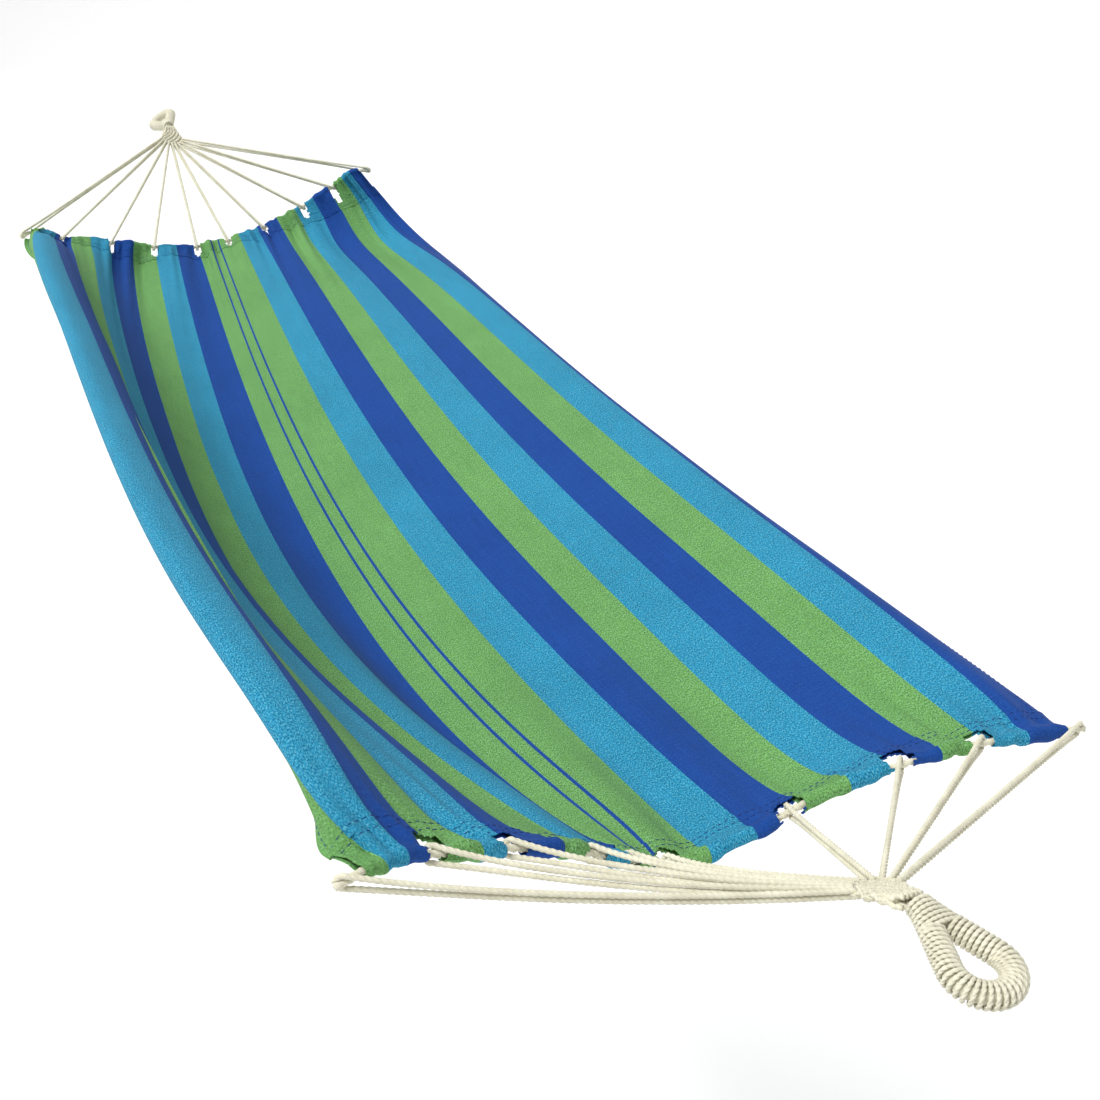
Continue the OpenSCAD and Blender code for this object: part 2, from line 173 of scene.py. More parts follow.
# ---------------------------------------------------------------- shape of the bed
def slopes(u, v):
    """Slope across the bed in radians: a row for each v and a column for each u."""
    i = np.clip(np.searchsorted(KNOTS, u, side="right") - 1, 0, len(KNOTS) - 2)
    t = ease((u - KNOTS[i]) / (KNOTS[i + 1] - KNOTS[i]))
    rows = (*SLOPES, FOOT_LINE, HEAD_LINE)
    foot, middle, head, foot_line, head_line = (row[i] * (1 - t) + row[i + 1] * t for row in rows)
    v = v[:, None]
    total = foot * (1 - v) * (1 - 2 * v) + middle * 4 * v * (1 - v) + head * v * (2 * v - 1)
    for place, half_width, strength, share in FOLDS:
        q = (u - place) / half_width
        total = total - math.radians(strength) * (1 - q * q) * np.exp(-q * q / 2) * ease(1 - v / share)
    total = total + (foot_line - total) * np.exp(-v / FOOT_LINE_SPREAD)
    return total + (head_line - total) * np.exp(-(1 - v) / HEAD_LINE_SPREAD)


def bunched(u, v):
    """Share of its width that the cloth keeps where it is bunched near a hem."""
    share = 1
    for place, half_width, foot, head in BUNCHES:
        near = foot * np.exp(-v / BUNCH_SPREAD) + head * np.exp(-(1 - v) / BUNCH_SPREAD)
        share = share * (1 - near * np.exp(-((u - place) / half_width) ** 2))
    return share


def kept_width(u, v):
    """Share of its flat width that the cloth keeps where its hems gather it."""
    foot = (1 - FOOT_GATHER) * np.exp(-v / FOOT_SPREAD)
    head = (1 - HEAD_GATHER) * np.exp(-(1 - v) / HEAD_SPREAD)
    return (1 - (foot + head)) * bunched(u, v)


# Even steps across the bed, along which its slopes are added up
FINE = np.linspace(0, STRIPES, STRIPES * 16 + 1)


def bed(u, v):
    """Points on the cloth's middle surface: a row for each v, a column for each u."""
    u = np.clip(np.atleast_1d(np.asarray(u, float)), 0, STRIPES)
    v = np.atleast_1d(np.asarray(v, float))
    between = (FINE[1:] + FINE[:-1]) / 2
    tilt = slopes(between, v)
    step = BED_WIDTH / (len(FINE) - 1) * kept_width(between, v[:, None])
    start = np.zeros((len(v), 1))
    x = np.hstack([start, np.cumsum(step * np.cos(tilt), axis=1)])
    z = np.hstack([start, np.cumsum(step * np.sin(tilt), axis=1)])
    middle = len(FINE) // 2
    across = u / STRIPES * (len(FINE) - 1)
    i = np.minimum(across.astype(int), len(FINE) - 2)
    t = across - i
    x = (x[:, i] * (1 - t) + x[:, i + 1] * t) - x[:, middle:middle + 1]
    z = (z[:, i] * (1 - t) + z[:, i + 1] * t) - z[:, middle:middle + 1]
    w = v[:, None]
    bulge = 1 - (2 * u / STRIPES - 1) ** 2
    x = x + FOOT_X * (1 - w) + HEAD_X * w + SIDE_BOW * 4 * w * (1 - w)
    y = FOOT_HEM_Y + HEM_TO_HEM * w + bulge * (FOOT_BULGE * (1 - w) ** 3 + HEAD_BULGE * w ** 3)
    sag = SAG * 4 * w * (1 - w) * (1 + SAG_SHIFT * (2 * w - 1))
    z = z + CLEW_Z - FOOT_DROP * (1 - w) - HEAD_DROP * w - sag
    return np.stack([x, y + 0 * x, z], axis=-1)


class End:
    """One end of the hammock: its hem line, its frames, its hitches and its clew."""

    def __init__(self, name, v, inward, hitches, slack, clew, window_depth, window_share):
        self.name, self.v, self.inward = name, v, inward
        self.window_depth, self.window_share = window_depth, window_share
        self.hitches, self.slack, self.clew = hitches, slack, clew
        self.side = 1 if v == 0 else -1

    def frames(self, u):
        """The hem line's points, and the directions out of the bed, up from the cloth and along the hem."""
        u = np.atleast_1d(np.asarray(u, float))
        line = bed(u, self.v)[0]
        inner = bed(u, self.inward)[0]
        run = unit(bed(u + 0.3, self.v)[0] - bed(u - 0.3, self.v)[0])
        out = unit(line - inner)
        up = unit(np.cross(run, out)) * -self.side
        return line, out, up, run

    def rope_point(self, u):
        """Where the end rope passes a hitch, with the directions up from the cloth and along the rope."""
        line, out, up, run = (a[0] for a in self.frames(u))
        beyond = 0 if 0 < u < STRIPES else math.copysign(CORNER_OUT, u)
        return line + out * HEM_R + run * beyond, up, run


FOOT = End("foot", 0, HEM_DEPTH / BED_LENGTH, FOOT_HITCHES, FOOT_SLACK, FOOT_CLEW, 0.011, 0.9)
HEAD = End("head", 1, 1 - HEM_DEPTH / BED_LENGTH, HEAD_HITCHES, HEAD_SLACK, HEAD_CLEW, 0.02, 0.6)

# ---------------------------------------------------------------- cloth
COLUMNS = np.linspace(0, STRIPES, STRIPES * 12 + 1)
# How uneven the hems' casing is, and its radius, which is 0.7 mm less than in the CAD part
HEM_SCRUNCH = 0.0016
CASING_R = 0.0068
# How far in from the hem line its two rows of stitches run
HEM_STITCH_ROWS = (0.014, 0.022)
# Columns in a turned side edge and the one that its stitches follow, both counted from the bed's edge
EDGE_COLUMNS, EDGE_STITCH_COLUMN = 5, 3
# The bed's lift off its middle surface, and also the gap between it and a turned edge under it
LAYER_GAP = 0.0004
# The column on which lengths round a hem are measured for its cloth pattern
MEASURED_COLUMN = 100
# Half a window's full width, in stripes of the gathered foot hem
HALF_WINDOW = WINDOW / 2 / (STRIPE * FOOT_GATHER)


def gathers(v):
    """Height of the small pleats that a gathered hem makes, for each row v and every column."""
    v = np.atleast_1d(v)[:, None]
    total = 0
    for away, seed, reach, strength in ((v, 1, 0.8, 0.9), (1 - v, 5, 1.3, 1.6)):
        near = away * BED_LENGTH
        fine = wavy(COLUMNS, 0.14, seed) * np.exp(-near / (0.035 * reach))
        middling = wavy(COLUMNS + near * 0.6, 0.32, seed + 1) * np.exp(-near / (0.12 * reach))
        broad = wavy(COLUMNS, 0.8, seed + 2) * np.exp(-near / (0.3 * reach)) * (1 - np.exp(-near / 0.03))
        total = total + strength * (0.0026 * fine + 0.0062 * middling + 0.0065 * broad)
    creases = wavy(COLUMNS + 0.5 * wavy(v * 6, 1, 21), 0.7, 22) * wavy(v * 9 + 0.2 * COLUMNS, 1, 23)
    return total + 0.0018 * creases


def grid_normals(points):
    along = np.gradient(points, axis=0)
    across = np.gradient(points, axis=1)
    return unit(np.cross(across, along))


def sheet_object(name, points, normals, uv, keep=None):
    """A closed layer of cloth on a grid of points. keep marks the cells that are there."""
    rows, cols = points.shape[:2]
    n = rows * cols
    cells = (np.arange(rows - 1)[:, None] * cols + np.arange(cols - 1)).ravel()
    if keep is not None:
        cells = cells[keep.ravel()]
    top = np.stack([cells, cells + 1, cells + cols + 1, cells + cols], axis=1)
    edges = np.concatenate([top[:, [k, (k + 1) % 4]] for k in range(4)])
    rim = edges[~np.isin(edges[:, 0] * n + edges[:, 1], edges[:, 1] * n + edges[:, 0])]
    rim = np.stack([rim[:, 1], rim[:, 0], rim[:, 0] + n, rim[:, 1] + n], axis=1)
    faces = np.concatenate([top, top[:, ::-1] + n, rim])
    half = normals * CLOTH_T / 2
    both = np.concatenate([(points + half).reshape(-1, 3), (points - half).reshape(-1, 3)])
    used, index = np.unique(faces, return_inverse=True)
    uv = np.tile(uv.reshape(-1, 2), (2, 1))
    obj = add_object(name, both[used], index.reshape(faces.shape).tolist(), uv[used])
    obj.data.set_sharp_from_angle(angle=math.radians(60))
    return obj


def cloth_uv(v):
    """Texture places in metres: across the cloth and along it."""
    v = np.atleast_1d(v)
    return np.stack(np.broadcast_arrays(COLUMNS * STRIPE, v[:, None] * BED_LENGTH), axis=-1)


# How far the bed's edge reaches into the folded hem, as a share of the hem's depth from the end rope
TUCK = 0.6


def bed_rows():
    """Rows of the bed from inside one hem to inside the other, closer together near the hems."""
    ends = np.linspace(0, 1, 50) ** 1.4 * 0.15
    inner = np.linspace(0.15, 0.85, 120)[1:-1]
    share = np.concatenate([ends, inner, 1 - ends[::-1]])
    first, last = FOOT.inward * TUCK, 1 - (1 - HEAD.inward) * TUCK
    return first + (last - first) * share


def tab_height(share):
    """Half the gap between the hem's two layers, from its seam (0) to its casing (1)."""
    return 0.0013 + 0.003 * ease(share - 0.3)


def hem_profile():
    """A hem in its own axes: out from the hem line, up from the cloth, and the layer the point is on.

    The layer is 1 over the rope, -1 under it and 0 round it.
    """
    tab = [(-HEM_DEPTH * (1 - t), tab_height(t), 1) for t in np.linspace(0, 0.8, 10)]
    casing = [(HEM_R + CASING_R * math.cos(a), CASING_R * math.sin(a), 0)
              for a in np.radians(np.linspace(130, -130, 17))]
    under = [(away, -height, -1) for away, height, _ in tab[::-1]]
    return tab + casing + under


def window_cells(end, away):
    """Marks the cells of a hem that its windows leave out; their edges are a little uneven."""
    middle = (COLUMNS[1:] + COLUMNS[:-1]) / 2
    depth = (away[1:] + away[:-1]) / 2
    cut = np.zeros((len(depth), len(middle)), bool)
    for hitch in end.hitches[1:-1]:
        half = HALF_WINDOW * end.window_share / math.sqrt(bunched(hitch, end.v))
        uneven = 1 + 0.16 * wavy(np.arange(len(depth)), 1.5, 40 + int(hitch * 10))
        taper = np.sqrt(np.clip(1 - np.clip(-depth / end.window_depth, 0, None) ** 2, 0, 1))
        cut |= np.abs(middle - hitch) < half * (uneven * taper)[:, None]
    return cut


def hem_object(end, cloth, thread_material):
    line, out, up, _ = end.frames(COLUMNS)
    pleats, at_seam = gathers(end.v)[0], gathers(end.inward)[0]
    seam = bed(COLUMNS, end.inward)[0]
    hitch = np.min(np.abs(COLUMNS[:, None] - np.array(end.hitches)), axis=1)
    pinch = 1 - 0.2 * np.exp(-(hitch / 0.5) ** 2)

    def tab_row(away, height, side):
        inside = ease(-away / HEM_DEPTH)
        lift = pleats * (1 - inside) + at_seam * inside
        return line + (seam - line) * (-away / HEM_DEPTH) + up * (side * height + lift)[:, None]

    rows = []
    profile = hem_profile()
    for away, height, side in profile:
        if abs(side) == 1 and away < 0:
            rows.append(tab_row(away, abs(height), side))
        else:
            radial = unit(out * (away - HEM_R) + up * height)
            radius = CASING_R * pinch + HEM_SCRUNCH * wavy(COLUMNS + 0.02 * len(rows), 0.2, 31 + end.v)
            rows.append(line + out * HEM_R + up * (pleats * 0.25)[:, None] + radial * radius[:, None])
    points = np.array(rows)
    steps = np.linalg.norm(np.diff(points[:, MEASURED_COLUMN], axis=0), axis=1)
    along = end.inward * BED_LENGTH - end.side * np.concatenate([[0], np.cumsum(steps)])
    uv = np.stack(np.broadcast_arrays(COLUMNS * STRIPE, along[:, None]), axis=-1)
    normals = grid_normals(points) * -end.side
    keep = ~window_cells(end, np.array([row[0] for row in profile]))
    if end.side > 0:
        points, normals, uv, keep = points[::-1], normals[::-1], uv[::-1], keep[::-1]
    obj = sheet_object(end.name + "_hem_cloth", points, normals, uv, keep)
    dress(obj, cloth, "bed", "striped_cotton", end.name + "_hem")
    lines = [tab_row(-away, tab_height(1 - away / HEM_DEPTH) + CLOTH_T / 2, 1) for away in HEM_STITCH_ROWS]
    stitches(end.name + "_hem_stitches", lines, [up, up], thread_material, end.name + "_hem_stitching")
    return obj


def side_hem_object(name, columns, stitch_column, points, normals, cloth, thread_material):
    """The turned edge under one side of the bed, and the stitches that show over it."""
    under = points[:, columns] - normals[:, columns] * (CLOTH_T + LAYER_GAP)
    uv = cloth_uv(bed_rows())[:, columns]
    obj = sheet_object(name + "_turned_edge", under, normals[:, columns], uv)
    dress(obj, cloth, "bed", "striped_cotton", name + "_hem")
    line = points[:, stitch_column] + normals[:, stitch_column] * CLOTH_T / 2
    stitches(name + "_stitches", [line], [normals[:, stitch_column]], thread_material, name + "_stitching")
    return obj


def bed_object(cloth, thread_material):
    v = bed_rows()
    points = bed(COLUMNS, v)
    normals = grid_normals(points)
    points = points + normals * (gathers(v)[..., None] + LAYER_GAP)
    normals = grid_normals(points)
    obj = sheet_object("striped_bed_cloth", points, normals, cloth_uv(v))
    dress(obj, cloth, "bed", "striped_cotton", "bed_cloth")
    left = side_hem_object("left_side", slice(0, EDGE_COLUMNS), EDGE_STITCH_COLUMN,
                           points, normals, cloth, thread_material)
    right = side_hem_object("right_side", slice(-EDGE_COLUMNS, None), -1 - EDGE_STITCH_COLUMN,
                            points, normals, cloth, thread_material)


# ---------------------------------------------------------------- twisted cords
# A cord's outline as shares of its radius: three strands of four points each
LOBES = np.tile([0.64, 0.9, 1, 0.9], 3)
# Length of one full turn of the strands, in cord diameters
LAY_LENGTH = 3.2
RING = len(LOBES)


def spread_evenly(path, step):
    """The same polyline with points at even steps."""
    path = np.asarray(path, float)
    run = np.concatenate([[0], np.cumsum(np.linalg.norm(np.diff(path, axis=0), axis=1))])
    places = np.linspace(0, run[-1], max(int(run[-1] / step), 2) + 1)
    return np.stack([np.interp(places, run, path[:, k]) for k in range(3)], axis=1)


def rounded(path):
    """Cuts the corners of a polyline so that it bends smoothly."""
    near = path[:-1] * 0.75 + path[1:] * 0.25
    far = path[:-1] * 0.25 + path[1:] * 0.75
    return np.concatenate([path[:1], np.stack([near, far], axis=1).reshape(-1, 3), path[-1:]])


def twisted(paths, diameter, step=0.3):
    """Points and faces of three-strand cords along the paths, in steps of so many diameters."""
    points, faces = [], []
    base = 0
    for path in paths:
        path = spread_evenly(path, diameter * step)
        heading = unit(np.gradient(path, axis=0))
        side = np.empty_like(path)
        start = np.array([0, 0, 1.0]) if abs(heading[0][2]) < 0.9 else np.array([1.0, 0, 0])
        side[0] = unit(start - heading[0] * (start @ heading[0]))
        for i in range(1, len(path)):
            moved = side[i - 1] - heading[i] * (side[i - 1] @ heading[i])
            side[i] = moved / math.sqrt(moved @ moved)
        other = np.cross(heading, side)
        lay = np.arange(len(path))[:, None] * step / LAY_LENGTH * math.tau
        turn = lay + np.arange(RING) * math.tau / RING
        ring = np.cos(turn)[..., None] * side[:, None] + np.sin(turn)[..., None] * other[:, None]
        points.append((path[:, None] + ring * (LOBES * diameter / 2)[:, None]).reshape(-1, 3))
        a = np.arange(len(path) - 1)[:, None] * RING + np.arange(RING)
        b = np.arange(len(path) - 1)[:, None] * RING + (np.arange(RING) + 1) % RING
        quads = np.stack([a, b, b + RING, a + RING], axis=-1).reshape(-1, 4) + base
        faces += quads.tolist()
        faces += [list(range(base + RING - 1, base - 1, -1))]
        base += len(path) * RING
        faces += [list(range(base - RING, base))]
    return np.concatenate(points), faces


def twisted_object(name, paths, diameter, **how):
    return add_object(name, *twisted(paths, diameter, **how))


def fan_angle(index):
    """Direction in which a cord leaves the clew, 0 being straight towards the bed."""
    return math.radians(-FAN_ANGLE + 2 * FAN_ANGLE * index / (CORDS - 1))


def doubled_route(end, index):
    """One doubled cord: from the clew to the end rope, round it, and back beside itself."""
    rope, up, run = end.rope_point(end.hitches[index])
    fan = fan_angle(index)
    away = math.cos(fan) * FAN_R
    across = math.sin(fan) * FAN_R
    root = end.clew + np.array([across, end.side * away * math.cos(CLEW_TILT), -away * math.sin(CLEW_TILT)])
    pull = unit(root - rope)
    square = unit(run - (run @ pull) * pull)
    over = np.cross(square, pull)
    over = -over if over[2] < 0 else over
    radius = (ROPE_D + CORD_D) / 2 + 0.0003
    sag = np.linalg.norm(root - rope) * end.slack[index]
    t = 1 - np.linspace(1, 0, 16)[:, None] ** 2
    middle = root * (1 - t) + rope * t - np.array([0, 0, 1]) * 4 * sag * t * (1 - t)
    apart = np.array([0, 0, LEG_SPLIT]) * (1 - t) + over * (LEG_SPLIT * t + (radius - LEG_SPLIT) * t ** 8)
    out, back = middle + apart, (middle - apart)[::-1]
    turn = [rope + radius * (math.cos(a) * over - math.sin(a) * pull) for a in np.radians(range(15, 180, 15))]
    return np.concatenate([out, turn, back])


def cord_objects(end, material):
    for index in range(CORDS):
        route = doubled_route(end, index)
        name = f"{end.name}_doubled_cord_{index + 1}"
        cord = twisted_object(name, [route], CORD_D)
        dress(cord, material, "bed", "cotton_cord", f"{end.name}_cord_{index + 1}")


def end_rope_object(end, material):
    u = np.linspace(0, STRIPES, 77)
    line, out, _, run = end.frames(u)
    inner = line + out * HEM_R
    route = np.concatenate([[inner[0] - run[0] * ROPE_END], inner, [inner[-1] + run[-1] * ROPE_END]])
    rope = twisted_object(end.name + "_twisted_end_rope", [route], ROPE_D)
    dress(rope, material, "bed", "cotton_cord", end.name + "_end_rope")


# ---------------------------------------------------------------- clews and loops
def placed(end, points, roll=0):
    """Turns points drawn for the foot end into that end's place."""
    points = np.asarray(points, float)
    x, y, z = points[..., 0], points[..., 1], points[..., 2]
    x, z = x * math.cos(roll) + z * math.sin(roll), -x * math.sin(roll) + z * math.cos(roll)
    if end.side < 0:
        y = TOTAL_Y - y
    return np.stack([x, y, z], axis=-1)


def tilted(points):
    """Turns points drawn flat round the clew's centre down to the clew's tilt."""
    x, y, z = points[:, 0], points[:, 1] + CLEW_OUT, points[:, 2]
    along, down = math.cos(CLEW_TILT), math.sin(CLEW_TILT)
    return np.stack([x, CLEW_START + y * along + z * down, z * along - y * down], axis=1)


WEFT_ROWS = 9
# How far the clew's cords pass over and under one another
WEAVE = 0.0022
# A clew's fan of warps: its radius, how far its lower end lies below the centre, and half its width there
CLEW_FAN_R, CLEW_FOOT, CLEW_FOOT_HALF = 0.022, 0.029, 0.0085
# The first weft row above the clew's centre, the rows' spacing, and the radius of their round top
WEFT_TOP, WEFT_SPACING, WEFT_R = 0.0175, 0.005, 0.0235


def warp_x(i, y):
    """Where warp i lies across the clew, y above the clew's centre."""
    fan = fan_angle(i)
    half = (CORDS - 1) / 2
    top, bottom = CLEW_FAN_R * math.sin(fan), (i - half) / half * CLEW_FOOT_HALF
    start = CLEW_FAN_R * math.cos(fan)
    t = np.clip((start - y) / (start + CLEW_FOOT), 0, 1)
    return top + (bottom - top) * t


def clew_object(end, material):
    """The woven clew: ten warps that narrow to the loop's neck, and one weft that goes to and fro."""
    paths = []
    for i in range(CORDS):
        y = np.linspace(0.024 * math.cos(fan_angle(i)), -0.03, 40)
        row = (0.02 - y) / WEFT_SPACING
        squeeze = ease((-0.012 - y) / 0.014)
        z = WEAVE * np.cos(math.pi * (row + i)) * (1 - squeeze) + (0.0035 if i % 2 else -0.0035) * squeeze
        paths.append(np.stack([warp_x(i, y), y, z], axis=1))
    weft = []
    for k in range(WEFT_ROWS):
        y = WEFT_TOP - WEFT_SPACING * k
        edge = warp_x(CORDS - 1, y) + 0.001 if y < 0.006 else math.sqrt(WEFT_R ** 2 - y * y)
        t = np.linspace(-1, 1, 33) if k % 2 else np.linspace(1, -1, 33)
        x = t * edge
        lanes = np.array([warp_x(i, y) for i in range(CORDS)])
        order = np.argsort(lanes)
        lane = np.interp(x, lanes[order], np.arange(CORDS)[order])
        z = -WEAVE * np.cos(math.pi * (k + 0.5 + lane)) * np.clip((1 - np.abs(t)) * 8, 0, 1)
        weft.append(np.stack([x, y + 0 * x, z], axis=1))
    paths.append(rounded(np.concatenate(weft)))
    clew = twisted_object(end.name + "_woven_clew", [placed(end, tilted(p)) for p in paths], CORD_D,
                          step=0.35)
    dress(clew, material, "bed", "woven_cord", end.name + "_clew")


# Half the angle between a loop's legs, and how far from the neck the turns round each leg start
LEG_ANGLE = math.asin(CROWN_R / (NECK_Y - CROWN_Y))
JOIN = 0.022
# From one turn of the wound cord to the next
TURN_PITCH = WRAP_D * 1.02


def wound(centre, across, radius_across, radius_up, pitch):
    """A helix of cord round a path: centre points, their sideways directions and the turn's half sizes."""
    run = np.concatenate([[0], np.cumsum(np.linalg.norm(np.diff(centre, axis=0), axis=1))])
    turns = run[-1] / pitch
    angle = np.linspace(0, turns * math.tau, int(turns * 26) + 1)
    place = angle / math.tau * pitch
    mid = np.stack([np.interp(place, run, centre[:, k]) for k in range(3)], axis=1)
    side = unit(np.stack([np.interp(place, run, across[:, k]) for k in range(3)], axis=1))
    wide = np.interp(place, run, radius_across)
    high = np.interp(place, run, radius_up)
    up = np.array([0, 0, 1.0])
    return mid + side * (np.cos(angle) * wide)[:, None] + up * (np.sin(angle) * high)[:, None]


def loop_object(end, material):
    """The cord wound round a hanging loop in close turns, and the whipping at its neck."""
    reach = BUNDLE_D / 2 + WRAP_D / 2 - 0.0003
    leg = math.sqrt((NECK_Y - CROWN_Y) ** 2 - CROWN_R ** 2)
    neck = np.array([0, NECK_Y, 0])
    path, across = [], []
    for s in np.linspace(JOIN, leg, 30):
        path.append(neck + s * np.array([-math.sin(LEG_ANGLE), -math.cos(LEG_ANGLE), 0]))
        across.append([-math.cos(LEG_ANGLE), math.sin(LEG_ANGLE), 0])
    for a in np.linspace(math.pi - LEG_ANGLE, math.tau + LEG_ANGLE, 60)[1:-1]:
        path.append([CROWN_R * math.cos(a), CROWN_Y + CROWN_R * math.sin(a), 0])
        across.append([math.cos(a), math.sin(a), 0])
    for s in np.linspace(leg, JOIN, 30):
        path.append(neck + s * np.array([math.sin(LEG_ANGLE), -math.cos(LEG_ANGLE), 0]))
        across.append([math.cos(LEG_ANGLE), math.sin(LEG_ANGLE), 0])
    path, across = np.array(path), np.array(across)
    ring = np.full(len(path), reach)
    turns = wound(path, across, ring, ring, TURN_PITCH)
    y = np.linspace(NECK_Y - JOIN * math.cos(LEG_ANGLE) - 0.002, NECK_Y + COLLAR / 2 - 0.002, 30)
    wide = reach + 0.0008 + np.clip(NECK_Y - y, 0, 1) * math.tan(LEG_ANGLE)
    joined = np.stack([0 * y, y, 0 * y], axis=1)
    sides = np.tile([1.0, 0, 0], (len(y), 1))
    whipping = wound(joined, sides, wide, np.full(len(y), reach + 0.0008), TURN_PITCH)
    roll = FOOT_ROLL if end.side > 0 else HEAD_ROLL
    loop = twisted_object(end.name + "_wound_loop", [placed(end, turns, roll), placed(end, whipping, roll)],
                          WRAP_D, step=0.42)
    dress(loop, material, "loops", "wrapped_cord", end.name + "_loop_wrapping")


# ---------------------------------------------------------------- stitching
STITCH, STITCH_GAP, THREAD_D = 0.0038, 0.0028, 0.0008


def stitches(name, lines, normals, material, *nodes):
    """Rows of stitches: short arched lengths of thread along lines on the cloth."""
    paths = []
    for line, up in zip(lines, normals):
        run = np.concatenate([[0], np.cumsum(np.linalg.norm(np.diff(line, axis=0), axis=1))])
        starts = np.arange(0.004, run[-1] - STITCH - 0.002, STITCH + STITCH_GAP)
        places = starts[:, None] + np.array([0, 0.25, 0.75, 1]) * STITCH
        points = np.stack([np.interp(places, run, line[:, k]) for k in range(3)], axis=-1)
        lift = np.stack([np.interp(places, run, up[:, k]) for k in range(3)], axis=-1)
        arch = np.array([-0.2, 0.45, 0.45, -0.2])[:, None] * THREAD_D
        paths += list(points + lift * arch)
    dress(twisted_object(name, paths, THREAD_D, step=1.0), material, "bed", "thread", *nodes)


# ---------------------------------------------------------------- materials
class Nodes:
    """A short way to wire a material's nodes."""

    def __init__(self, name):
        self.material = bpy.data.materials.new(name)
        self.material.use_nodes = True
        self.tree = self.material.node_tree
        self.shader = self.tree.nodes["Principled BSDF"]

    def add(self, kind, *inputs, **settings):
        node = self.tree.nodes.new("ShaderNode" + kind)
        for key, value in settings.items():
            setattr(node, key, value)
        for socket, value in enumerate(inputs):
            if value is not None:
                self.put(node.inputs[socket], value)
        return node

    def put(self, socket, value):
        if isinstance(value, bpy.types.NodeSocket):
            self.tree.links.new(value, socket)
        else:
            socket.default_value = value

    def math(self, operation, *values):
        return self.add("Math", *values, operation=operation).outputs[0]

    def mix(self, share, a, b, blend="MIX"):
        node = self.add("Mix", data_type="RGBA", blend_type=blend)
        self.put(node.inputs["Factor"], share)
        self.put(node.inputs["A"], a)
        self.put(node.inputs["B"], b)
        return node.outputs["Result"]

    def noise(self, place, scale, detail=2.0, roughness=0.5):
        node = self.add("TexNoise")
        self.put(node.inputs["Vector"], place)
        node.inputs["Scale"].default_value = scale
        node.inputs["Detail"].default_value = detail
        node.inputs["Roughness"].default_value = roughness
        return node.outputs["Fac"]

    def bump(self, height, strength, distance):
        node = self.add("Bump")
        node.inputs["Strength"].default_value = strength
        node.inputs["Distance"].default_value = distance
        self.put(node.inputs["Height"], height)
        self.put(self.shader.inputs["Normal"], node.outputs["Normal"])


GREEN = linear(112, 168, 82)
LIGHT_BLUE = linear(36, 146, 186)
DARK_BLUE = linear(18, 66, 144)
# Half the width of the two thin lines in the middle green stripe
THIN_LINE = 0.0018
# Where those lines run, in stripes from the left edge
THIN_LINE_PLACES = (9.68, 10.04)
STRIPE_ORDER = "GLDGLDGLDGGLDGLDGLD"
# Spacing of the cloth's threads across the bed and along it
WARP_THREAD_SPACING, WEFT_THREAD_SPACING = 0.0011, 0.0013


